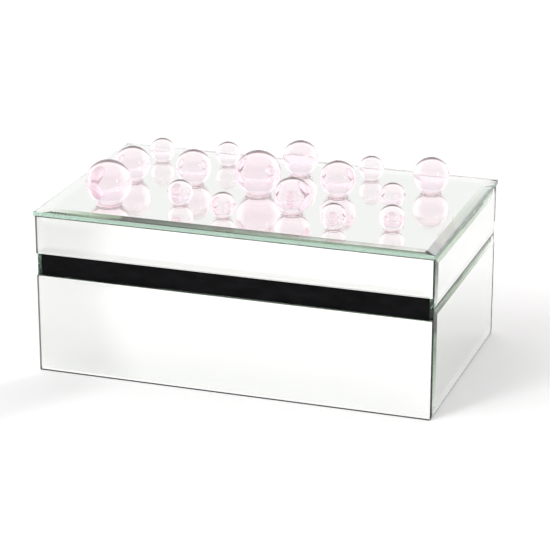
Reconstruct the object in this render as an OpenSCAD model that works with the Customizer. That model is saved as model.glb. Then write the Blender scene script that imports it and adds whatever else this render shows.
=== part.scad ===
// Mirrored trinket box. A wooden carcass is faced with bevelled mirror glass, the lid opens on
// two stop hinges along its back edge, and clear glass balls stand on the lid's mirror.
// Axes: +X right, +Y towards the hinges, +Z up. The origin is the centre of the underside.
// All lengths are in millimetres.

/* [Box] */
// Width of the box over its mirrors
box_w = 220; // [200:1:240]
// Depth of the box over its mirrors, front to back
box_d = 134; // [128:1:160]
// Height of the upper face of the lid's mirror above the table
box_h = 90.9; // [88:0.1:120]
// Height of the plane in which the lid meets the base
parting_z = 60.5; // [50:0.5:62]
// Thickness of the wooden walls
wall_t = 6; // [6:0.5:8]
// Thickness of the bottom board and of the lid's board
board_t = 4; // [3:0.5:6]
// Thickness of the felt under the base
felt_t = 0.8; // [0.4:0.1:1.5]
// How far the felt stays inside the box's outline
felt_inset = 0.8; // [0:0.1:8]

/* [Mirror glass] */
// Thickness of the mirror glass
glass_t = 2.7; // [2.7:0.1:5]
// Width of the bevels on the lid's top mirror
top_bevel_w = 7; // [4:0.5:10]
// Width of the bevels along the upright edges of the wall mirrors
upright_bevel_w = 5; // [3:0.5:6]
// Width of the bevels along the level edges of the wall mirrors
level_bevel_w = 4; // [3:0.5:6]
// How much thinner the glass is at the outer edge of its bevel
bevel_drop = 0.5; // [0.2:0.1:1.2]
// Film of adhesive between a mirror and the wood or glass behind it
glue_t = 0.15; // [0.1:0.05:0.3]
// Gap between two mirrors that meet edge to face
edge_gap = 0.3; // [0.1:0.1:0.5]
// How far the front and back mirrors stop short of the faces of the end mirrors
panel_inset = 0.8; // [0:0.1:1.5]
// Gap between the felt and the lower edges of the base's mirrors
felt_gap = 0.1; // [0.1:0.1:0.4]
// Gap between the lid's top mirror and the upper edges of the mirrors under it
top_gap = 0.6; // [0.1:0.1:1]

/* [Velvet] */
// Height of the part of the black band that is on the lid
lid_band_h = 6.5; // [4:0.5:7]
// Height of the part of the black band that is on the base
base_band_h = 6; // [4:0.5:12]
// Thickness of the velvet on the bands and rims
velvet_t = 0.5; // [0.3:0.1:0.5]
// Thickness of the velvet-covered cards that line the walls
lining_t = 1.5; // [1:0.5:2]
// Thickness of the padded floor and of the pad in the lid
pad_t = 5; // [3:0.5:6]
// Gap around each pad
pad_gap = 0.3; // [0.2:0.1:1]

/* [Hinges] */
// Distance of each hinge's middle from the middle of the box
hinge_x = 60; // [40:1:80]
// Length of a hinge
hinge_l = 24; // [22:1:30]
// Radius of the hinge pin
pin_r = 0.5; // [0.4:0.05:0.6]
// Radial clearance between the pin and the lid's knuckle
pin_play = 0.05; // [0.02:0.01:0.08]
// Thickness of a hinge leaf
leaf_t = 0.8; // [0.6:0.1:0.9]
// Angle at which the hinges stop the lid
stop_angle = 100; // [90:1:110]

/* [Glass balls] */
// Diameter of the large balls
large_d = 25; // [20:1:26]
// Diameter of the medium balls
medium_d = 20; // [16:1:21]
// Diameter of the small balls
small_d = 14; // [10:1:15]
// Depth of the flat that is ground on a ball where it is glued down
ball_flat = 0.7; // [0.1:0.05:1]

/* [Hidden] */
$fn = 64;
ball_fn = 96;

// Middle of each ball on the lid, X and Y, and its diameter
BALLS = [
    [-76.5, -42.5, large_d],
    [-6.5, -1, large_d],
    [-80, 0.5, medium_d],
    [-46, 5, medium_d],
    [4, 40, medium_d],
    [35, 10.5, medium_d],
    [81, 32.5, medium_d],
    [21, -25.5, medium_d],
    [-77.5, 39, small_d],
    [-40, 44, small_d],
    [44, 43.5, small_d],
    [68.5, 0.5, small_d],
    [78.5, -35.5, small_d],
    [49, -42.5, small_d],
    [-11.5, -43.5, small_d],
    [-40.5, -30.5, small_d]
];

BASE_NODES = [
    "bottom_felt",
    "base_bottom_board",
    "base_front_board",
    "base_back_board",
    "base_left_board",
    "base_right_board",
    "base_front_mirror",
    "base_back_mirror",
    "base_left_mirror",
    "base_right_mirror",
    "base_front_band",
    "base_back_band",
    "base_rim_wrap",
    "base_wall_lining",
    "base_floor_pad",
    "left_hinge_base_leaf",
    "right_hinge_base_leaf",
    "left_hinge_pin",
    "right_hinge_pin",
    "base_hinge_screws"
];
LID_NODES = [
    "lid_top_board",
    "lid_front_board",
    "lid_back_board",
    "lid_left_board",
    "lid_right_board",
    "lid_top_mirror",
    "lid_front_mirror",
    "lid_back_mirror",
    "lid_left_mirror",
    "lid_right_mirror",
    "lid_front_band",
    "lid_back_band",
    "lid_rim_wrap",
    "lid_wall_lining",
    "lid_pad",
    "left_hinge_lid_leaf",
    "right_hinge_lid_leaf",
    "lid_hinge_screws"
];
BALL_NODES = [for (i = [0 : len(BALLS) - 1]) str("glass_ball_", i + 1)];

// Colours of the materials
mirror_colour = [0.82, 0.85, 0.84];
ball_colour = [0.96, 0.86, 0.89];
velvet_colour = [0.06, 0.06, 0.06];
felt_colour = [0.12, 0.12, 0.12];
wood_colour = [0.62, 0.47, 0.33];
brass_colour = [0.80, 0.66, 0.38];

// Outline of the wooden carcass, inside the mirrors
skin_t = glass_t + glue_t;
carcass_w = box_w - 2 * skin_t;
carcass_d = box_d - 2 * skin_t;
inner_w = carcass_w - 2 * wall_t;
inner_d = carcass_d - 2 * wall_t;
lined_w = inner_w - 2 * lining_t;
lined_d = inner_d - 2 * lining_t;
panel_w = box_w - 2 * panel_inset;

// Heights of the base, from the table up
floor_z = felt_t + board_t;
base_mirror_bottom_z = felt_t + felt_gap;
base_wood_top_z = parting_z - velvet_t;
base_front_top_z = parting_z - base_band_h;
base_side_top_z = parting_z - edge_gap;

// Heights of the lid
lid_wood_bottom_z = parting_z + velvet_t;
lid_side_bottom_z = parting_z + edge_gap;
lid_front_bottom_z = parting_z + lid_band_h;
top_mirror_z = box_h - glass_t;
lid_side_top_z = top_mirror_z - top_gap;
lid_board_top_z = top_mirror_z - glue_t;
lid_board_bottom_z = lid_board_top_z - board_t;
lid_pad_bottom_z = lid_board_bottom_z - pad_t;

// Turns about Z that bring a part made for the front to each side of the box
front = 0;
right = 90;
back = 180;
left = 270;

// Hinge layout, along and across the hinge's own axis. The knuckles fill the recess behind the
// velvet band, so they stay inside the box's outline
knuckle_gap = 0.15;
knuckle_room = 0.05;
knuckle_r = (skin_t - velvet_t) / 2 - knuckle_room;
hinge_out = velvet_t + knuckle_room + knuckle_r;
hinge_y = carcass_d / 2 + hinge_out;
lid_knuckle_half = 3.5;
base_knuckle_end = 8.5;
base_knuckle_start = lid_knuckle_half + knuckle_gap;
stop_start = base_knuckle_end + knuckle_gap;
turning_r = knuckle_r + knuckle_gap;
stop_slack = 0.2; // degrees between the stop faces when the lid is fully open
stop_face = stop_angle / 2 + stop_slack;
leaf_margin = 0.5; // wood left between a leaf and the inside of the wall
leaf_reach = hinge_out + wall_t - leaf_margin;
mortise_play = 0.2;
overcut = 1; // how far a cutting shape reaches past what it cuts

// Countersunk hinge screws
screw_x = 7.5;
screw_y = -(hinge_out + wall_t / 2);
screw_head_r = 1.3;
screw_head_h = 0.7;
screw_r = 0.6;
screw_l = 6;
screw_sink = 0.05;
slot_w = 0.3;
slot_depth = 0.3;

// ---- shapes that repeat ----

// Section across a mirror: flat silvered back at Y = 0, bevels at both ends of the front
module mirror_section(span, bevel_w) {
    polygon([
        [-span / 2, 0],
        [span / 2, 0],
        [span / 2, glass_t - bevel_drop],
        [span / 2 - bevel_w, glass_t],
        [-span / 2 + bevel_w, glass_t],
        [-span / 2, glass_t - bevel_drop]
    ]);
}

// Mirror lying on the XY plane with its back down. bevel_x is the width of the bevels at its
// two X ends, and bevel_y at its two Y ends
module bevelled_mirror(w, h, bevel_x, bevel_y) {
    intersection() {
        rotate([90, 0, 0]) linear_extrude(h, center = true) mirror_section(w, bevel_x);
        rotate([90, 0, 90]) linear_extrude(w, center = true) mirror_section(h, bevel_y);
    }
}

// Upright mirror on one side of the box, with its back back_d from the middle
module wall_mirror(side, back_d, w, z0, z1) {
    color(mirror_colour)
        rotate([0, 0, side])
        translate([0, -back_d, (z0 + z1) / 2])
        rotate([90, 0, 0])
        bevelled_mirror(w, z1 - z0, upright_bevel_w, level_bevel_w);
}

// Upright board or card whose outer face is outer_d from the middle of the box
module wall_board(side, outer_d, t, w, z0, z1) {
    rotate([0, 0, side])
        translate([-w / 2, -outer_d, z0])
        cube([w, t, z1 - z0]);
}

// Four cards that line the walls
module wall_lining(z0, z1) {
    color(velvet_colour) {
        for (side = [front, back])
            wall_board(side, inner_d / 2, lining_t, inner_w, z0, z1);
        for (side = [right, left])
            wall_board(side, inner_w / 2, lining_t, lined_d, z0, z1);
    }
}

// Velvet that covers the end grain of the four walls
module rim_ring(z0) {
    translate([0, 0, z0 + velvet_t / 2])
        difference() {
            cube([carcass_w, carcass_d, velvet_t], center = true);
            cube([inner_w, inner_d, 2 * velvet_t], center = true);
        }
}

module pad(z0) {
    color(velvet_colour)
        translate([0, 0, z0 + pad_t / 2])
        cube([lined_w - 2 * pad_gap, lined_d - 2 * pad_gap, pad_t], center = true);
}

// Moves its children to the left (-1) or right (1) hinge's axis
module at_hinge(hand) {
    translate([hand * hinge_x, hinge_y, parting_z]) children();
}

// Room for both hinges' leaves in the wood and velvet
module mortises() {
    for (hand = [-1, 1])
        at_hinge(hand)
        translate([
            -hinge_l / 2 - mortise_play,
            -leaf_reach - mortise_play,
            -leaf_t
        ])
        cube([hinge_l + 2 * mortise_play, leaf_reach + hinge_out, 2 * leaf_t]);
}

// Room for the screws' shanks. up is 1 in the lid and -1 in the base
module pilot_holes(up) {
    for (hand = [-1, 1], along = [-1, 1])
        at_hinge(hand)
        mirror([0, 0, up > 0 ? 0 : 1])
        translate([along * screw_x, screw_y, screw_sink])
        cylinder(h = screw_l, r = screw_r);
}

// Cylinder along X that covers the spans [x0, x1] of both ends of a hinge
module barrel(x0, x1, r) {
    for (end = [0, 1])
        mirror([end, 0, 0])
        translate([x0, 0, 0])
        rotate([0, 90, 0])
        cylinder(h = x1 - x0, r = r);
}

// Solid end of a barrel, cut away to the wedge that meets the other leaf's when the lid is open
module stop_block() {
    reach = 2 * knuckle_r;
    intersection() {
        barrel(stop_start, hinge_l / 2, knuckle_r);
        rotate([90, 0, 90])
            linear_extrude(2 * hinge_l, center = true)
            polygon([
                [0, 0],
                [reach / tan(stop_face), reach],
                [-reach, reach],
                [-reach, 0]
            ]);
    }
}

// Screw with its head down at the parting plane and its shank up
module screw_body() {
    translate([0, 0, screw_sink]) {
        cylinder(h = screw_head_h, r1 = screw_head_r, r2 = screw_r);
        cylinder(h = screw_l, r = screw_r);
    }
}

// Plate of a leaf on the upper side of the parting plane, with countersunk holes
module leaf_plate() {
    difference() {
        translate([-hinge_l / 2, -leaf_reach, 0])
            cube([hinge_l, leaf_reach, leaf_t]);
        for (along = [-1, 1])
            translate([along * screw_x, screw_y, 0]) {
                screw_body();
                translate([0, 0, -screw_sink]) cylinder(h = 2 * screw_sink, r = screw_head_r);
            }
    }
}

module lid_leaf() {
    color(brass_colour)
        difference() {
            union() {
                difference() {
                    leaf_plate();
                    barrel(base_knuckle_start - knuckle_gap, base_knuckle_end + knuckle_gap, turning_r);
                }
                barrel(0, lid_knuckle_half, knuckle_r);
                stop_block();
            }
            barrel(0, lid_knuckle_half + overcut, pin_r + pin_play);
        }
}

module base_leaf() {
    color(brass_colour)
        mirror([0, 0, 1])
        difference() {
            union() {
                difference() {
                    leaf_plate();
                    barrel(0, lid_knuckle_half + knuckle_gap, turning_r);
                }
                barrel(base_knuckle_start, base_knuckle_end, knuckle_r);
                stop_block();
            }
            barrel(0, base_knuckle_end, pin_r);
        }
}

module hinge_pin() {
    color(brass_colour) barrel(0, base_knuckle_end, pin_r);
}

// Slotted screws of both hinges. up is 1 in the lid and -1 in the base
module hinge_screws(up) {
    color(brass_colour)
        for (hand = [-1, 1], along = [-1, 1])
        at_hinge(hand)
        mirror([0, 0, up > 0 ? 0 : 1])
        translate([along * screw_x, screw_y, 0])
        difference() {
            screw_body();
            translate([0, 0, screw_sink])
                cube([3 * screw_head_r, slot_w, 2 * slot_depth], center = true);
        }
}

// ---- base ----

module bottom_felt() {
    color(felt_colour)
        translate([0, 0, felt_t / 2])
        cube([box_w - 2 * felt_inset, box_d - 2 * felt_inset, felt_t], center = true);
}

module base_bottom_board() {
    color(wood_colour)
        translate([0, 0, felt_t + board_t / 2])
        cube([carcass_w, carcass_d, board_t], center = true);
}

module base_long_board(side) {
    color(wood_colour)
        wall_board(side, carcass_d / 2, wall_t, carcass_w, floor_z, base_wood_top_z);
}

module base_front_board() {
    base_long_board(front);
}

module base_back_board() {
    difference() {
        base_long_board(back);
        mortises();
        pilot_holes(-1);
    }
}

module base_end_board(side) {
    color(wood_colour)
        wall_board(side, carcass_w / 2, wall_t, inner_d, floor_z, base_wood_top_z);
}

module base_long_mirror(side) {
    wall_mirror(side, box_d / 2 - glass_t, panel_w, base_mirror_bottom_z, base_front_top_z);
}

module base_end_mirror(side) {
    wall_mirror(side, box_w / 2 - glass_t, carcass_d, base_mirror_bottom_z, base_side_top_z);
}

module base_band(side) {
    color(velvet_colour)
        difference() {
            wall_board(side, carcass_d / 2 + velvet_t, velvet_t, carcass_w, base_front_top_z, parting_z);
            mortises();
        }
}

module base_rim_wrap() {
    color(velvet_colour)
        difference() {
            rim_ring(base_wood_top_z);
            mortises();
        }
}

// ---- lid ----

module lid_top_board() {
    color(wood_colour)
        translate([0, 0, lid_board_bottom_z + board_t / 2])
        cube([carcass_w, carcass_d, board_t], center = true);
}

module lid_long_board(side) {
    color(wood_colour)
        wall_board(side, carcass_d / 2, wall_t, carcass_w, lid_wood_bottom_z, lid_board_bottom_z);
}

module lid_front_board() {
    lid_long_board(front);
}

module lid_back_board() {
    difference() {
        lid_long_board(back);
        mortises();
        pilot_holes(1);
    }
}

module lid_end_board(side) {
    color(wood_colour)
        wall_board(side, carcass_w / 2, wall_t, inner_d, lid_wood_bottom_z, lid_board_bottom_z);
}

module lid_top_mirror() {
    color(mirror_colour)
        translate([0, 0, top_mirror_z])
        bevelled_mirror(box_w, box_d, top_bevel_w, top_bevel_w);
}

module lid_long_mirror(side) {
    wall_mirror(side, box_d / 2 - glass_t, panel_w, lid_front_bottom_z, lid_side_top_z);
}

module lid_end_mirror(side) {
    wall_mirror(side, box_w / 2 - glass_t, carcass_d, lid_side_bottom_z, lid_side_top_z);
}

module lid_band(side) {
    color(velvet_colour)
        difference() {
            wall_board(side, carcass_d / 2 + velvet_t, velvet_t, carcass_w, parting_z, lid_front_bottom_z);
            mortises();
        }
}

module lid_rim_wrap() {
    color(velvet_colour)
        difference() {
            rim_ring(parting_z);
            mortises();
        }
}

// Ball with a small ground flat, standing on the lid's mirror
module glass_ball(spec) {
    r = spec[2] / 2;
    color(ball_colour)
        translate([spec[0], spec[1], box_h])
        intersection() {
            translate([0, 0, r - ball_flat]) sphere(r = r, $fn = ball_fn);
            translate([-r, -r, 0]) cube([2 * r, 2 * r, 2 * r]);
        }
}

// ---- the nodes ----

bottom_felt();
base_bottom_board();
base_front_board();
base_back_board();
base_end_board(left);  // base_left_board
base_end_board(right);  // base_right_board
base_long_mirror(front);  // base_front_mirror
base_long_mirror(back);  // base_back_mirror
base_end_mirror(left);  // base_left_mirror
base_end_mirror(right);  // base_right_mirror
base_band(front);  // base_front_band
base_band(back);  // base_back_band
base_rim_wrap();
wall_lining(floor_z, base_wood_top_z);  // base_wall_lining
pad(floor_z);  // base_floor_pad
at_hinge(-1) base_leaf();  // left_hinge_base_leaf
at_hinge(1) base_leaf();  // right_hinge_base_leaf
at_hinge(-1) hinge_pin();  // left_hinge_pin
at_hinge(1) hinge_pin();  // right_hinge_pin
hinge_screws(-1);  // base_hinge_screws

lid_top_board();
lid_front_board();
lid_back_board();
lid_end_board(left);  // lid_left_board
lid_end_board(right);  // lid_right_board
lid_top_mirror();
lid_long_mirror(front);  // lid_front_mirror
lid_long_mirror(back);  // lid_back_mirror
lid_end_mirror(left);  // lid_left_mirror
lid_end_mirror(right);  // lid_right_mirror
lid_band(front);  // lid_front_band
lid_band(back);  // lid_back_band
lid_rim_wrap();
wall_lining(lid_wood_bottom_z, lid_board_bottom_z);  // lid_wall_lining
pad(lid_pad_bottom_z);  // lid_pad
at_hinge(-1) lid_leaf();  // left_hinge_lid_leaf
at_hinge(1) lid_leaf();  // right_hinge_lid_leaf
hinge_screws(1);  // lid_hinge_screws

for (i = [0 : len(BALLS) - 1])
    glass_ball(BALLS[i]);
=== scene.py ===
"""Looks of the mirrored trinket box: mirror glass, glass balls, velvet, hinges, studio."""
import math

import bmesh
import bpy
from mathutils import Matrix, Vector, noise


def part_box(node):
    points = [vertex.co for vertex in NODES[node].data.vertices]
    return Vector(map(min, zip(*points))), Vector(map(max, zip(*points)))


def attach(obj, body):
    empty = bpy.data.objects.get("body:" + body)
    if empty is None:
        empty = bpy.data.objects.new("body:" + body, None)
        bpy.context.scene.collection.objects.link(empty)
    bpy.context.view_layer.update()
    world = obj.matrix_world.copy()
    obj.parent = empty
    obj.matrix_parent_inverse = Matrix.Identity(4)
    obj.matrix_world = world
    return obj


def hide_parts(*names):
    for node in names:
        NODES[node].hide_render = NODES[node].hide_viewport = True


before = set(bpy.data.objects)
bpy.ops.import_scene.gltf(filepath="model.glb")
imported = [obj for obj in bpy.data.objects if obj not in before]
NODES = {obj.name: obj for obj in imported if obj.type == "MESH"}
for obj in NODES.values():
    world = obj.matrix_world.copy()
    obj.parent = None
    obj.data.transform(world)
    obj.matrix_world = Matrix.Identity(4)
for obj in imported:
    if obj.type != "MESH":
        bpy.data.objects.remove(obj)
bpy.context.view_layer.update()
MM = 0.001
SKIM = 0.02 * MM  # clearance between surfaces that lie on each other
LINING_T = 1.5 * MM  # thickness of the velvet-covered cards
TURN_SEGMENTS = 96  # sides of everything that is turned on a lathe
BALL_RINGS = 48  # rings of a ball from its top to its foot
GLUE_SHARE = 0.57  # radius of the collar of glue over the ball's radius
GLASS_IOR = 1.5
FLOAT_TINT = (0.54, 0.82, 0.74, 1.0)  # colour of the light that float glass lets through
FLOAT_DENSITY = 5.0
TRAPPED_BOUNCES = 48  # reflections that light makes inside a mirror before it gets out


# ---------------------------------------------------------------- node helpers

def rgb(r, g, b):
    return (r, g, b, 1.0)


def set_stops(ramp, stops):
    """Gives a Color Ramp node its stops, pairs of a place and a colour or grey value."""
    elements = ramp.color_ramp.elements
    while len(elements) < len(stops):
        elements.new(0.5)
    for element, (place, colour) in zip(elements, stops):
        element.position = place
        element.color = colour if isinstance(colour, tuple) else rgb(colour, colour, colour)


class Recipe:
    """Builds one material's node tree with short calls."""

    def __init__(self, name):
        self.mat = bpy.data.materials.new(name)
        self.mat.use_nodes = True
        self.tree = self.mat.node_tree
        self.shader = self.tree.nodes["Principled BSDF"]
        self.out = self.tree.nodes["Material Output"]
        self.coords = self.tree.nodes.new("ShaderNodeTexCoord").outputs["Object"]

    def set(self, **values):
        """Sets the shader's own sockets: Base_Color=..., Roughness=..."""
        for key, value in values.items():
            self.shader.inputs[key.replace("_", " ")].default_value = value
        return self

    def link(self, source, socket):
        self.tree.links.new(source, self.shader.inputs[socket])

    def scaled(self, scale):
        node = self.tree.nodes.new("ShaderNodeMapping")
        node.inputs["Scale"].default_value = scale
        self.tree.links.new(self.coords, node.inputs["Vector"])
        return node.outputs["Vector"]

    def noise(self, scale, detail=4.0, rough=0.5, vector=None):
        node = self.tree.nodes.new("ShaderNodeTexNoise")
        node.inputs["Scale"].default_value = scale
        node.inputs["Detail"].default_value = detail
        node.inputs["Roughness"].default_value = rough
        self.tree.links.new(vector or self.coords, node.inputs["Vector"])
        return node.outputs["Fac"]

    def ramp(self, source, *stops):
        node = self.tree.nodes.new("ShaderNodeValToRGB")
        set_stops(node, stops)
        self.tree.links.new(source, node.inputs["Fac"])
        return node.outputs["Color"]

    def math(self, operation, first, second):
        node = self.tree.nodes.new("ShaderNodeMath")
        node.operation = operation
        for socket, value in zip(node.inputs, (first, second)):
            if isinstance(value, float):
                socket.default_value = value
            else:
                self.tree.links.new(value, socket)
        return node.outputs["Value"]

    def fade(self, source, start, end):
        """Runs smoothly from start to end, each a pair (source's value, result)."""
        node = self.tree.nodes.new("ShaderNodeMapRange")
        node.interpolation_type = "SMOOTHSTEP"
        values = (start[0], end[0], start[1], end[1])
        for name, value in zip(("From Min", "From Max", "To Min", "To Max"), values):
            node.inputs[name].default_value = value
        self.tree.links.new(source, node.inputs["Value"])
        return node.outputs["Result"]

    def bump(self, height, strength, distance):
        node = self.tree.nodes.new("ShaderNodeBump")
        node.inputs["Strength"].default_value = strength
        node.inputs["Distance"].default_value = distance
        self.tree.links.new(height, node.inputs["Height"])
        self.link(node.outputs["Normal"], "Normal")

    def absorb(self, colour, density):
        node = self.tree.nodes.new("ShaderNodeVolumeAbsorption")
        node.inputs["Color"].default_value = colour
        node.inputs["Density"].default_value = density
        self.tree.links.new(node.outputs["Volume"], self.out.inputs["Volume"])


# ---------------------------------------------------------------- materials

def mirror_face_glass():
    """Clear polished float glass, faintly green."""
    m = Recipe("mirror_face_glass")
    m.set(Base_Color=rgb(1, 1, 1), Transmission_Weight=1.0, IOR=GLASS_IOR, Roughness=0.0)
    m.absorb(FLOAT_TINT, FLOAT_DENSITY)
    return m.mat


def cut_edge_glass():
    """Cut and polished edge of the same glass: greener, and not quite smooth."""
    m = Recipe("cut_edge_glass")
    m.set(Base_Color=rgb(0.80, 0.86, 0.83), Transmission_Weight=1.0, IOR=GLASS_IOR)
    grain = m.noise(2500.0)
    m.link(m.ramp(grain, (0.3, 0.03), (0.7, 0.08)), "Roughness")
    m.absorb(FLOAT_TINT, FLOAT_DENSITY)
    return m.mat


def silvering():
    """Silver behind the glass, very slightly uneven."""
    m = Recipe("mirror_silver")
    m.set(Metallic=1.0, Roughness=0.01)
    thin, thick = rgb(0.950, 0.958, 0.938), rgb(0.958, 0.966, 0.948)
    m.link(m.ramp(m.noise(60.0), (0.3, thin), (0.7, thick)), "Base Color")
    return m.mat


def pink_glass():
    """Pale pink glass of the balls, coloured through and through."""
    m = Recipe("pink_ball_glass")
    m.set(Base_Color=rgb(1, 1, 1), Transmission_Weight=1.0, IOR=GLASS_IOR, Roughness=0.0)
    m.absorb(rgb(1.0, 0.70, 0.84), 20.0)
    return m.mat


def velvet():
    """Short black velvet of the bands and rims."""
    m = Recipe("black_velvet")
    m.set(Roughness=0.9, Specular_IOR_Level=0.08)
    m.set(Sheen_Weight=0.1, Sheen_Roughness=0.35, Sheen_Tint=rgb(0.6, 0.6, 0.62))
    nap = m.noise(90.0, detail=3.0, vector=m.scaled((1, 1, 2.5)))
    m.link(m.ramp(nap, (0.3, rgb(0.003, 0.003, 0.0035)), (0.75, rgb(0.008, 0.008, 0.009))), "Base Color")
    m.bump(m.noise(4000.0, detail=2.0), 0.35, 0.0002)
    return m.mat


def lining_velvet():
    """The same black velvet with a deeper pile, brushed this way and that."""
    m = Recipe("lining_velvet")
    m.set(Specular_IOR_Level=0.1, Sheen_Roughness=0.3, Sheen_Tint=rgb(0.75, 0.74, 0.78))
    brushed = m.noise(22.0, detail=5.0, rough=0.6, vector=m.scaled((1, 2.2, 1)))
    pile = m.noise(1600.0, detail=4.0, rough=0.7)
    m.link(m.ramp(brushed, (0.3, rgb(0.010, 0.010, 0.012)), (0.72, rgb(0.030, 0.028, 0.033))), "Base Color")
    m.link(m.ramp(brushed, (0.32, 0.35), (0.7, 0.95)), "Sheen Weight")
    m.link(m.ramp(pile, (0.3, 0.75), (0.7, 0.95)), "Roughness")
    m.bump(pile, 0.5, 0.0003)
    return m.mat


def felt():
    """Coarse black felt under the base."""
    m = Recipe("black_felt")
    m.set(Roughness=0.95, Sheen_Weight=0.25, Sheen_Roughness=0.6)
    fibre = m.noise(1500.0, detail=8.0, rough=0.7)
    m.link(m.ramp(fibre, (0.3, rgb(0.012, 0.012, 0.012)), (0.8, rgb(0.05, 0.05, 0.05))), "Base Color")
    m.bump(fibre, 0.6, 0.0003)
    return m.mat


def black_paper():
    """Black paper glued to the boards behind the velvet."""
    m = Recipe("black_paper")
    m.set(Roughness=0.85)
    fibre = m.noise(1200.0, detail=6.0)
    m.link(m.ramp(fibre, (0.3, rgb(0.008, 0.008, 0.009)), (0.7, rgb(0.018, 0.018, 0.019))), "Base Color")
    m.bump(fibre, 0.3, 0.0001)
    return m.mat


def fibreboard():
    """Fine brown fibreboard of the carcass."""
    m = Recipe("fibreboard")
    m.set(Roughness=0.8)
    speckle = m.noise(1800.0, detail=6.0, rough=0.7)
    m.link(m.ramp(speckle, (0.25, rgb(0.23, 0.14, 0.075)), (0.8, rgb(0.46, 0.32, 0.19))), "Base Color")
    m.bump(speckle, 0.3, 0.0002)
    return m.mat


def brass():
    """Brushed brass of the hinges and screws."""
    m = Recipe("satin_brass")
    m.set(Metallic=1.0)
    streaks = m.noise(900.0, detail=4.0, vector=m.scaled((0.1, 1, 1)))
    m.link(m.ramp(streaks, (0.3, rgb(0.62, 0.45, 0.20)), (0.7, rgb(0.78, 0.60, 0.30))), "Base Color")
    m.link(m.ramp(streaks, (0.3, 0.22), (0.7, 0.4)), "Roughness")
    m.bump(streaks, 0.15, 0.00005)
    return m.mat


def adhesive():
    """Dark grey-green adhesive in the joints between the mirrors."""
    m = Recipe("dark_adhesive")
    m.set(Roughness=0.35)
    dark, light = rgb(0.035, 0.045, 0.04), rgb(0.075, 0.09, 0.08)
    m.link(m.ramp(m.noise(700.0), (0.3, dark), (0.7, light)), "Base Color")
    m.bump(m.noise(900.0), 0.3, 0.0001)
    return m.mat


def left_rim_grey_paint():
    """Grey-green paint on the front mirrors' left rims only, which draws a grey line down their left edges.
    """
    m = Recipe("left_rim_grey_paint")
    m.set(Roughness=0.6)
    thin, thick = rgb(0.50, 0.54, 0.51), rgb(0.60, 0.64, 0.61)
    m.link(m.ramp(m.noise(800.0), (0.3, thin), (0.7, thick)), "Base Color")
    return m.mat


def ball_adhesive_painted_glow():
    """Set glue, milky. Its glow and part of its pink tint are painted light, in place of the light and the
    blush that the glass above gathers on it.
    """
    m = Recipe("ball_adhesive_painted_glow")
    # Painted glow: pink emission stands in for the light that the balls would focus onto the glue
    m.set(Roughness=0.4, Emission_Color=rgb(0.95, 0.76, 0.82), Emission_Strength=0.42)
    cloud = m.noise(900.0, detail=3.0)
    # Colour partly the glue's own milky tone, partly painted pink blush from the balls above
    m.link(m.ramp(cloud, (0.3, rgb(0.78, 0.68, 0.71)), (0.7, rgb(0.88, 0.80, 0.82))), "Base Color")
    m.bump(cloud, 0.2, 0.0001)
    return m.mat


def studio_floor():
    """White acrylic table top that glows a little, as if lit from below. Its colour and glow carry painted
    shade: they fall off on the right and in front, and a painted shadow strip crosses them.
    """
    m = Recipe("studio_floor")
    m.set(Roughness=0.9, Emission_Color=rgb(1, 1, 1))
    place = m.tree.nodes.new("ShaderNodeSeparateXYZ")
    m.tree.links.new(m.coords, place.inputs["Vector"])
    x, y = place.outputs["X"], place.outputs["Y"]
    # Painted shade: colour and glow grow darker towards the right and towards the front
    right = m.fade(x, (0.10, 1.0), (0.34, 0.77))
    front = m.fade(y, (-0.5, 0.8), (-0.15, 1.0))
    # Painted soft shadow, as of a flag standing at the left in front of the box: a slanted strip across the
    # table
    lean = 0.47  # the strip's shift to the right for each metre to the back
    slant = m.math("ADD", x, m.math("MULTIPLY", y, -lean))
    left_side = m.fade(slant, (-0.088, 0.0), (-0.07, 1.0))
    right_side = m.fade(slant, (-0.048, 1.0), (-0.016, 0.0))
    depth = m.fade(y, (-0.09, 0.16), (-0.05, 0.0))
    painted_flag_shadow = m.math("MULTIPLY", m.math("MULTIPLY", left_side, right_side), depth)
    # Painted light and shade that scales both the table's colour and its glow
    light = m.math("MULTIPLY", m.math("MULTIPLY", right, front), m.math("SUBTRACT", 1.0, painted_flag_shadow))
    cloud = m.ramp(m.noise(3.0), (0.2, 0.90), (0.8, 0.92))
    shade = m.tree.nodes.new("ShaderNodeVectorMath")
    shade.operation = "SCALE"
    m.tree.links.new(cloud, shade.inputs[0])
    m.tree.links.new(light, shade.inputs["Scale"])
    m.link(shade.outputs["Vector"], "Base Color")
    glow = 0.3
    m.link(m.math("MULTIPLY", light, glow), "Emission Strength")
    return m.mat


FACE = mirror_face_glass()
EDGE = cut_edge_glass()
SILVER = silvering()
PINK = pink_glass()
VELVET = velvet()
LINING = lining_velvet()
FELT = felt()
PAPER = black_paper()
WOOD = fibreboard()
BRASS = brass()
ADHESIVE = adhesive()
LEFT_RIM_GREY = left_rim_grey_paint()
GLUE = ball_adhesive_painted_glow()


# ---------------------------------------------------------------- CAD nodes that stay

def wear(node, material):
    """Gives a CAD node one material."""
    slots = NODES[node].data.materials
    slots.clear()
    slots.append(material)


def silver_back(node, inward):
    """Mirror: silver on the face that looks inward, cut edge round the rim, clear glass elsewhere.

    The left rims of the front mirrors are painted."""
    face, silver, edge, grey_rim_slot = range(4)
    mesh = NODES[node].data
    mesh.materials.clear()
    for material in (FACE, SILVER, EDGE, LEFT_RIM_GREY):
        mesh.materials.append(material)
    inward = Vector(inward)
    for polygon in mesh.polygons:
        facing = polygon.normal.dot(inward)
        if facing > 0.99:
            polygon.material_index = silver
        elif abs(facing) < 0.01:
            # The front mirrors' left rims get the grey paint; their right rims stay bare cut glass
            on_left_rim = node.endswith("front_mirror") and polygon.normal.x < -0.9
            polygon.material_index = grey_rim_slot if on_left_rim else edge
        else:
            polygon.material_index = face


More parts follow.
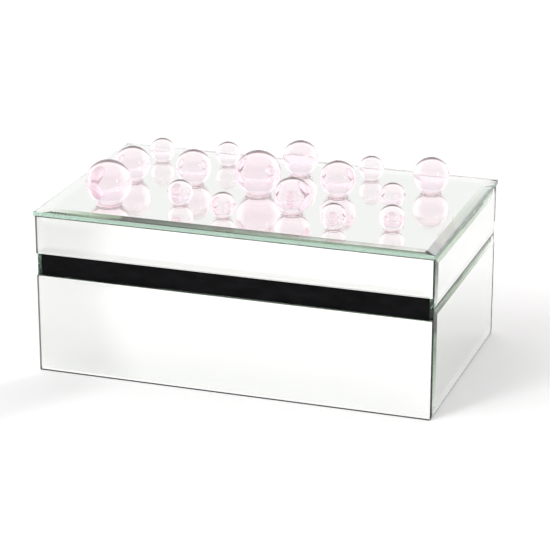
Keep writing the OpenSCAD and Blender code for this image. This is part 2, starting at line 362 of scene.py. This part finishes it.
def paper_inside(node):
    """Board: bare wood, with black paper on the faces that look into the box, behind the velvet."""
    mesh = NODES[node].data
    mesh.materials.clear()
    for material in (WOOD, PAPER):
        mesh.materials.append(material)
    low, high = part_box(node)
    middle = (low + high) / 2
    heart = Vector((0, 0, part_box("base_rim_wrap")[1].z))
    for polygon in mesh.polygons:
        polygon.material_index = 1 if polygon.normal.dot(heart - middle) > 0 else 0


# Direction in which the silvered face of each kind of mirror looks
INWARD = {"top": (0, 0, -1), "front": (0, 1, 0), "back": (0, -1, 0), "left": (1, 0, 0), "right": (-1, 0, 0)}
for name in NODES:
    if name.endswith("_mirror"):
        silver_back(name, INWARD[name.split("_")[1]])
    elif name.endswith("_board"):
        paper_inside(name)
    elif "hinge" in name:
        wear(name, BRASS)
    elif name.endswith("_band") or name.endswith("_rim_wrap"):
        wear(name, VELVET)
wear("bottom_felt", FELT)


# ---------------------------------------------------------------- new pieces

def add_mesh(name, bm, material, body):
    """Makes a smooth-shaded piece of bm's mesh, which is used up, that rides on body."""
    mesh = bpy.data.meshes.new(name)
    bmesh.ops.recalc_face_normals(bm, faces=bm.faces)
    bm.to_mesh(mesh)
    bm.free()
    for polygon in mesh.polygons:
        polygon.use_smooth = True
    mesh.materials.append(material)
    piece = bpy.data.objects.new(name, mesh)
    bpy.context.scene.collection.objects.link(piece)
    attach(piece, body)
    return piece


def lathe(bm, middle, profile):
    """Turns the profile, a list of (radius, height), about the upright axis through middle.

    Returns its loops of vertices."""
    turns = [2 * math.pi * k / TURN_SEGMENTS for k in range(TURN_SEGMENTS)]
    loops = [
        [bm.verts.new(middle + Vector((r * math.cos(t), r * math.sin(t), z))) for t in turns]
        for r, z in profile
    ]
    for upper, lower in zip(loops, loops[1:]):
        for k in range(TURN_SEGMENTS):
            n = (k + 1) % TURN_SEGMENTS
            bm.faces.new((upper[k], lower[k], lower[n], upper[n]))
    return loops


def ball_size(node):
    """Radius, middle on the table plane, height of the centre and height of the flat of a CAD ball."""
    low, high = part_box(node)
    radius = (high.x - low.x) / 2
    return radius, Vector(((low.x + high.x) / 2, (low.y + high.y) / 2, 0)), high.z - radius, low.z + SKIM


def glass_ball(node):
    """Smooth ball with the ground flat that it stands on."""
    radius, middle, centre_z, flat_z = ball_size(node)
    last = math.acos((flat_z - centre_z) / radius)
    angles = [last * i / BALL_RINGS for i in range(1, BALL_RINGS + 1)]
    bm = bmesh.new()
    loops = lathe(bm, middle, [(radius * math.sin(a), centre_z + radius * math.cos(a)) for a in angles])
    top = bm.verts.new(middle + Vector((0, 0, centre_z + radius)))
    for k in range(TURN_SEGMENTS):
        bm.faces.new((top, loops[0][k], loops[0][(k + 1) % TURN_SEGMENTS]))
    bm.faces.new(loops[-1])
    flat_index = len(bm.faces) - 1
    piece = add_mesh(node + "_glass", bm, PINK, "lid")
    piece.data.polygons[flat_index].use_smooth = False
    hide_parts(node)


def ball_glue(nodes):
    """Glue that has crept out round the foot of every ball and set in a thin collar."""
    # Outer face from the mirror up: share of the collar's width and of its height
    outer_face = ((0.97, 0.22), (0.85, 0.26), (0.6, 0.32), (0.3, 0.5))
    climb = 0.06  # width of the glue's upper end on the ball, over the ball's radius
    dent = 0.15  # how far the inner face bends in under the ball, over the collar's height
    bm = bmesh.new()
    for node in nodes:
        radius, middle, centre_z, flat_z = ball_size(node)
        inner_r = math.sqrt(radius ** 2 - (centre_z - flat_z) ** 2) + SKIM
        climb_r, outer_r = inner_r + climb * radius, GLUE_SHARE * radius
        climb_z = centre_z - math.sqrt(radius ** 2 - climb_r ** 2) - SKIM
        height = climb_z - flat_z
        profile = [(inner_r, flat_z), (outer_r, flat_z)]
        for share, rise in outer_face:
            profile.append((climb_r + (outer_r - climb_r) * share, flat_z + height * rise))
        profile.append((climb_r, climb_z))
        profile.append(((inner_r + climb_r) / 2, (flat_z + climb_z) / 2 - dent * height))
        loops = lathe(bm, middle, profile)
        for k in range(TURN_SEGMENTS):
            n = (k + 1) % TURN_SEGMENTS
            bm.faces.new((loops[-1][k], loops[0][k], loops[0][n], loops[-1][n]))
    add_mesh("ball_glue", bm, GLUE, "lid")


balls = [name for name in sorted(NODES) if name.startswith("glass_ball_")]
for name in balls:
    glass_ball(name)
ball_glue(balls)


def join_rings(bm, here, there):
    """Faces between two closed rings with as many vertices each."""
    for k in range(len(here)):
        n = (k + 1) % len(here)
        bm.faces.new((here[k], there[k], there[n], here[n]))


def seam_bead(name, body, low_z, high_z, inner, outer):
    """Line of dark adhesive round the box in the gap between low_z and high_z.

    inner and outer are the half sizes, X and Y, between which it lies. Its outer side sags inwards."""
    steps, reach = 40, outer.x - inner.x
    unevenness = 0.08  # share of the reach
    depth = (high_z - low_z) / 2
    middle_z = (high_z + low_z) / 2
    # Share of the reach, and height from -1 to 1
    section = [(0.0, -1.0), (0.93, -1.0), (0.80, -0.5), (0.75, 0.0), (0.80, 0.5), (0.93, 1.0), (0.0, 1.0)]
    corners = [(-1, -1), (1, -1), (1, 1), (-1, 1)]
    bm = bmesh.new()
    loops = []
    for (ax, ay), (bx, by) in zip(corners, corners[1:] + corners[:1]):
        for step in range(steps):
            share = step / steps
            side = Vector((ax + (bx - ax) * share, ay + (by - ay) * share))
            ring = []
            for out, up in section:
                wobble = unevenness * noise.noise(Vector((side.x * 11, side.y * 7, low_z * 900))) * out
                half = inner + Vector((reach, reach)) * (out + wobble)
                ring.append(bm.verts.new((side.x * half.x, side.y * half.y, middle_z + up * depth)))
            loops.append(ring)
    for here, there in zip(loops, loops[1:] + loops[:1]):
        join_rings(bm, here, there)
    add_mesh(name, bm, ADHESIVE, body)


SEAM_INSET = 0.15 * MM  # how far the seam stays behind the top mirror's rim
carcass_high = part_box("lid_top_board")[1]
front_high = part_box("lid_front_mirror")[1]
top_low, top_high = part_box("lid_top_mirror")
seam_bead(
    "lid_top_seam", "lid", front_high.z + SKIM, top_low.z - SKIM,
    Vector((carcass_high.x + SKIM, carcass_high.y + SKIM)),
    Vector((top_high.x - SEAM_INSET, top_high.y - SEAM_INSET)),
)


def corner_beads(body):
    """Fillets of dark adhesive in the upright nooks where the front and back mirrors meet the end mirrors."""
    rows, unevenness = 24, 0.15
    end_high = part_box(body + "_right_mirror")[1]
    low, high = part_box(body + "_front_mirror")
    # Outline of a fillet, outwards and towards the front or back
    section = [(0.0, 0.0), (0.45 * MM, 0.0), (0.16 * MM, 0.35 * MM), (0.0, 0.9 * MM)]
    bm = bmesh.new()
    for side_x, side_y in ((-1, -1), (1, -1), (1, 1), (-1, 1)):
        rings = []
        for row in range(rows + 1):
            z = low.z + (high.z - low.z) * row / rows
            size = 1 + unevenness * noise.noise(Vector((side_x, side_y, z * 300)))
            rings.append([
                bm.verts.new((
                    side_x * (high.x + SKIM + size * dx),
                    side_y * (end_high.y + SKIM + size * dy),
                    z,
                ))
                for dx, dy in section
            ])
        for here, there in zip(rings, rings[1:]):
            join_rings(bm, here, there)
        bm.faces.new(rings[0])
        bm.faces.new(rings[-1])
    add_mesh(body + "_corner_beads", bm, ADHESIVE, body)


corner_beads("base")
corner_beads("lid")


def swell(pad):
    """Blows up the pad's cover by a cloth simulation, with its underside held flat.

    Returns where its points end."""
    start_frame, end_frame = 1, 20
    held = pad.vertex_groups.new(name="held")
    held.add([v.index for v in pad.data.vertices if v.co.z < 1e-6], 1.0, "REPLACE")
    cloth = pad.modifiers.new("cover", "CLOTH").settings
    cloth.vertex_group_mass = "held"
    cloth.quality = 6
    cloth.mass = 0.2
    cloth.use_pressure = True
    cloth.uniform_pressure_force = 4.0
    cloth.effector_weights.gravity = 0.0
    scene = bpy.context.scene
    for moment in range(start_frame, end_frame + 1):
        scene.frame_set(moment)
    solved = pad.evaluated_get(bpy.context.evaluated_depsgraph_get()).data
    ends = [v.co.copy() for v in solved.vertices]
    pad.modifiers.clear()
    scene.frame_set(start_frame)
    return ends


def pad_block(width, depth, height):
    """Foam block on Z = 0, with the cover that is blown up next. Its sides draw in between the corners."""
    cell, wall_rows = 2.6 * MM, 3
    draw_in = 0.5 * MM  # at the top and the underside, and twice as much half way up
    corner_share = 0.6  # share of it that is missing at the corners
    nx, ny = round(width / cell), round(depth / cell)
    # Grid places round the edge, once round
    around = [(i, 0) for i in range(nx)] + [(nx, j) for j in range(ny)]
    around += [(i, ny) for i in range(nx, 0, -1)] + [(0, j) for j in range(ny, 0, -1)]
    bm = bmesh.new()

    def point(u, v, up):
        """u and v run from -1 to 1 across the pad, and up from 0 at the underside to 1 at the top."""
        waist = draw_in + draw_in * math.sin(math.pi * up)
        x = u * (width / 2 - waist * (1 - corner_share * abs(v) ** 4))
        y = v * (depth / 2 - waist * (1 - corner_share * abs(u) ** 4))
        return Vector((x, y, up * height))

    def corner(i, j, up):
        return bm.verts.new(point(2 * i / nx - 1, 2 * j / ny - 1, up))

    def sheet(up):
        return [[corner(i, j, up) for j in range(ny + 1)] for i in range(nx + 1)]

    under, over = sheet(0.0), sheet(1.0)
    for i in range(nx):
        for j in range(ny):
            bm.faces.new((under[i][j], under[i][j + 1], under[i + 1][j + 1], under[i + 1][j]))
            bm.faces.new((over[i][j], over[i + 1][j], over[i + 1][j + 1], over[i][j + 1]))
    rims = [[under[i][j] for i, j in around]]
    for row in range(1, wall_rows):
        rims.append([corner(i, j, row / wall_rows) for i, j in around])
    rims.append([over[i][j] for i, j in around])
    for lower, upper in zip(rims, rims[1:]):
        for k in range(len(lower)):
            n = (k + 1) % len(lower)
            bm.faces.new((lower[k], lower[n], upper[n], upper[k]))
    mesh = bpy.data.meshes.new("stuffed_pad")
    bmesh.ops.recalc_face_normals(bm, faces=bm.faces)
    bm.to_mesh(mesh)
    bm.free()
    pad = bpy.data.objects.new("stuffed_pad", mesh)
    bpy.context.scene.collection.objects.link(pad)
    return pad


def settled(start, end, half_x, half_y, block_h):
    """Where a point of the cover, blown up from start to end, comes to lie.

    Its move is limited, and it stays inside the pad's outline. The foam's crown and unevenness lift it."""
    move_cap = 1.4 * MM
    crown_h, dimple_h, dimple_scale = 0.6 * MM, 0.3 * MM, 28
    move = end - start
    if move.length > move_cap:
        move *= move_cap / move.length
    place = start + move
    place.x = max(-half_x, min(half_x, place.x))
    place.y = max(-half_y, min(half_y, place.y))
    place.z = max(0.0, place.z)
    u, v = abs(place.x) / half_x, abs(place.y) / half_y
    share = place.z / block_h
    crown = (1 - u ** 4) * (1 - v ** 4) * crown_h
    dimple = dimple_h * noise.noise(Vector((place.x * dimple_scale, place.y * dimple_scale, 3.1)))
    place.z += min(share, 1.0) * (crown + dimple * (1 - u ** 6) * (1 - v ** 6))
    return place


def smooth_copy(pad):
    """Subdivided copy of the pad's mesh. The pad itself is used up."""
    smoother = pad.modifiers.new("smoother", "SUBSURF")
    smoother.levels = smoother.render_levels = 1
    smooth = bpy.data.meshes.new_from_object(pad.evaluated_get(bpy.context.evaluated_depsgraph_get()))
    rough = pad.data
    bpy.data.objects.remove(pad)
    bpy.data.meshes.remove(rough)
    for polygon in smooth.polygons:
        polygon.use_smooth = True
    smooth.materials.clear()
    smooth.materials.append(LINING)
    return smooth


def stuffed_pad(width, depth, thickness):
    """Mesh data of a velvet cushion that lies on Z = 0, a foam block whose cover is blown up a little."""
    block_h = thickness * 0.74  # before the cover is blown up
    pad = pad_block(width, depth, block_h)
    vertices = pad.data.vertices
    before = [v.co.copy() for v in vertices]
    after = swell(pad)
    for vertex, start, end in zip(vertices, before, after):
        vertex.co = settled(start, end, width / 2, depth / 2, block_h)
    top_z = max(vertex.co.z for vertex in vertices)
    if top_z > thickness:
        for vertex in vertices:
            vertex.co.z *= thickness / top_z
    pad.data.update()
    return smooth_copy(pad)


def lay_pads():
    """Cushion on the base's floor, and the same cushion upside down under the lid."""
    low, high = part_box("base_floor_pad")
    size = high - low
    floor_mesh = stuffed_pad(size.x, size.y, size.z - 2 * SKIM)
    lid_mesh = floor_mesh.copy()
    lid_mesh.transform(Matrix.Rotation(math.pi, 4, "X"))
    lid_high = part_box("lid_pad")[1]
    for name, mesh, z, node, body in (
        ("base_floor_cushion", floor_mesh, low.z + SKIM, "base_floor_pad", "base"),
        ("lid_cushion", lid_mesh, lid_high.z - SKIM, "lid_pad", "lid"),
    ):
        mesh.transform(Matrix.Translation((0, 0, z)))
        piece = bpy.data.objects.new(name, mesh)
        bpy.context.scene.collection.objects.link(piece)
        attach(piece, body)
        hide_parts(node)


def edge_steps(length, radius, cell):
    """Places along a length, close together within radius of both ends."""
    arc_steps = 5
    ends = [radius * (1 - math.cos(math.pi / 2 * k / arc_steps)) for k in range(arc_steps + 1)]
    count = max(2, round((length - 2 * radius) / cell))
    middle = [radius + (length - 2 * radius) * k / count for k in range(1, count)]
    return ends + middle + [length - e for e in reversed(ends)]


def padded_card(bm, length, height, thickness, place, seed):
    """Adds a velvet-covered card to bm.

    Its back is flat on the local XZ plane, its front is padded towards -Y, and its edges are rolled over.
    place is the matrix that puts the local origin, the middle of the card's lower back edge, in the box."""
    roll, cell, ease = 0.8 * thickness, 3 * MM, 12 * MM
    padding = 0.10  # share of the thickness that is soft and uneven
    edge_share = 0.25  # share of the thickness at the very edge
    xs = edge_steps(length, roll, cell)
    zs = edge_steps(height, roll, cell)

    def lift(x, z):
        out = thickness * (1.0 - padding)
        for d in (min(x, length - x), min(z, height - z)):
            if d < roll:
                out *= math.sqrt(max(0.0, 1 - (1 - d / roll) ** 2)) * (1 - edge_share) + edge_share
        near = min(x, length - x, z, height - z) / ease
        wave = noise.noise(Vector((x * 35, z * 35, seed)))
        return out + padding * thickness * min(near, 1.0) * (0.6 + 0.4 * wave)

    front = [[bm.verts.new(place @ Vector((x - length / 2, -lift(x, z), z))) for z in zs] for x in xs]
    back = [[bm.verts.new(place @ Vector((x - length / 2, 0.0, z))) for z in zs] for x in xs]
    last_x, last_z = len(xs) - 1, len(zs) - 1
    for i in range(last_x):
        for j in range(last_z):
            bm.faces.new((front[i][j], front[i + 1][j], front[i + 1][j + 1], front[i][j + 1]))
            bm.faces.new((back[i][j], back[i][j + 1], back[i + 1][j + 1], back[i + 1][j]))
    for i in range(last_x):
        for j in (0, last_z):
            bm.faces.new((front[i][j], back[i][j], back[i + 1][j], front[i + 1][j]))
    for j in range(last_z):
        for i in (0, last_x):
            bm.faces.new((front[i][j], front[i][j + 1], back[i][j + 1], back[i][j]))


def line_walls(name, node, body):
    """Four velvet cards in place of the lining node, with their backs on the four boards."""
    low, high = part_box(node)
    half_x, half_y = high.x, high.y
    height = high.z - low.z - 2 * SKIM
    long, short = 2 * half_x - 2 * SKIM, 2 * (half_y - LINING_T) - 2 * SKIM
    bm = bmesh.new()
    spans = ((0, half_y, long), (90, half_x, short), (180, half_y, long), (270, half_x, short))
    for turn, reach, length in spans:
        place = (
            Matrix.Rotation(math.radians(turn), 4, "Z")
            @ Matrix.Translation((0, reach - SKIM, low.z + SKIM))
        )
        padded_card(bm, length, height, LINING_T - 2 * SKIM, place, turn + low.z * 100)
    piece = add_mesh(name, bm, LINING, body)
    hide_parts(node)


lay_pads()
line_walls("base_velvet_cards", "base_wall_lining", "base")
line_walls("lid_velvet_cards", "lid_wall_lining", "lid")


# ---------------------------------------------------------------- studio

def add_floor():
    half_size = 4.0
    bm = bmesh.new()
    bmesh.ops.create_grid(bm, x_segments=2, y_segments=2, size=half_size)
    mesh = bpy.data.meshes.new("floor")
    bm.to_mesh(mesh)
    bm.free()
    mesh.materials.append(studio_floor())
    floor = bpy.data.objects.new("floor", mesh)
    bpy.context.scene.collection.objects.link(floor)


def add_lamp(name, kind, place, target, seen, **settings):
    """Lamp at place that points at target. A lamp that isn't seen lights the floor but shows in no mirror."""
    light = bpy.data.lights.new(name, kind)
    for key, value in settings.items():
        setattr(light, key, value)
    lamp = bpy.data.objects.new(name, light)
    lamp.location = place
    lamp.rotation_euler = (Vector(target) - Vector(place)).to_track_quat("-Z", "Y").to_euler()
    lamp.visible_glossy = seen
    lamp.visible_transmission = seen
    bpy.context.scene.collection.objects.link(lamp)


def add_world():
    """White tent, open overhead on the photographer's side, where the room is dark."""
    world = bpy.data.worlds.new("studio")
    bpy.context.scene.world = world
    world.use_nodes = True
    tree = world.node_tree

    def node(kind, **inputs):
        made = tree.nodes.new(kind)
        for name, value in inputs.items():
            if hasattr(value, "is_linked"):
                tree.links.new(value, made.inputs[name])
            else:
                made.inputs[name].default_value = value
        return made

    def ramp(source, *stops):
        made = node("ShaderNodeValToRGB", Fac=source)
        set_stops(made, stops)
        return made.outputs["Color"]

    def along(axis):
        """How far a direction goes along an axis of length 1."""
        made = tree.nodes.new("ShaderNodeVectorMath")
        made.operation = "DOT_PRODUCT"
        made.inputs[1].default_value = axis
        tree.links.new(direction, made.inputs[0])
        return made.outputs["Value"]

    def blend(kind, factor, first, second):
        made = tree.nodes.new("ShaderNodeMix")
        made.data_type = "RGBA"
        made.blend_type = kind
        # The colour sockets of a Mix node share their names with hidden ones, so they go by number
        for index, value in ((0, factor), (6, first), (7, second)):
            if hasattr(value, "is_linked"):
                tree.links.new(value, made.inputs[index])
            else:
                made.inputs[index].default_value = value
        return made.outputs[2]

    direction = tree.nodes.new("ShaderNodeTexCoord").outputs["Generated"]
    height = node("ShaderNodeSeparateXYZ", Vector=direction).outputs["Z"]
    walls = ramp(height, (0.0, 0.85), (0.34, 0.79), (0.5, 0.88), (0.87, 0.95))
    opening = (0.275, -0.798, 0.536)  # towards the middle of the dark room
    room = ramp(
        along(opening), (0.08, 1.0), (0.14, rgb(0.72, 0.58, 0.56)),
        (0.19, rgb(0.22, 0.18, 0.18)), (0.4, rgb(0.10, 0.09, 0.09)),
    )
    across = (0.947, 0.3206, 0.0)  # level, to the right of the camera
    aside = tree.nodes.new("ShaderNodeMath")
    aside.operation = "ABSOLUTE"
    tree.links.new(along(across), aside.inputs[0])
    sides = ramp(aside.outputs["Value"], (0.4, 0.8), (0.7, 1.0))
    low = ramp(height, (0.44, 1.0), (0.56, 0.0))
    tent = blend("MULTIPLY", 1.0, walls, sides)
    shade = blend("MULTIPLY", 1.0, tent, blend("MIX", low, room, rgb(1, 1, 1)))
    background = tree.nodes["Background"]
    background.inputs["Strength"].default_value = 1.5
    tree.links.new(shade, background.inputs["Color"])


def add_camera():
    """Camera in front of the box, turned a little to its right, looking down."""
    camera = bpy.data.cameras.new("camera")
    camera.sensor_width = 36.0
    camera.lens = 154.6
    place = (0.3923, -1.1511, 0.4833)
    turn, tilt = math.radians(18.7), math.radians(19.84)
    holder = bpy.data.objects.new("camera", camera)
    holder.matrix_world = (
        Matrix.Translation(place)
        @ Matrix.Rotation(turn, 4, "Z")
        @ Matrix.Rotation(math.pi / 2 - tilt, 4, "X")
    )
    bpy.context.scene.collection.objects.link(holder)
    bpy.context.scene.camera = holder


add_floor()
add_world()
add_lamp("fill", "SUN", (-0.7, -0.6, 1.0), (0, 0, 0), False, energy=1.05, angle=math.radians(45))
add_lamp(
    "key", "AREA", (-0.5, -1.0, 1.0), (0.03, -0.12, 0), False,
    energy=0.12, shape="SQUARE", size=0.3, spread=math.radians(22),
)
add_lamp(
    "strip", "AREA", (1.0, -0.5, 0.55), (0, 0, 0.1), True,
    energy=0.8, shape="RECTANGLE", size=0.14, size_y=0.45,
)
add_camera()
bpy.context.scene.view_settings.view_transform = "Standard"

# Light that enters a bevel is carried along inside the mirror for dozens of reflections
cycles = bpy.context.scene.cycles
cycles.max_bounces = cycles.glossy_bounces = cycles.transmission_bounces = TRAPPED_BOUNCES
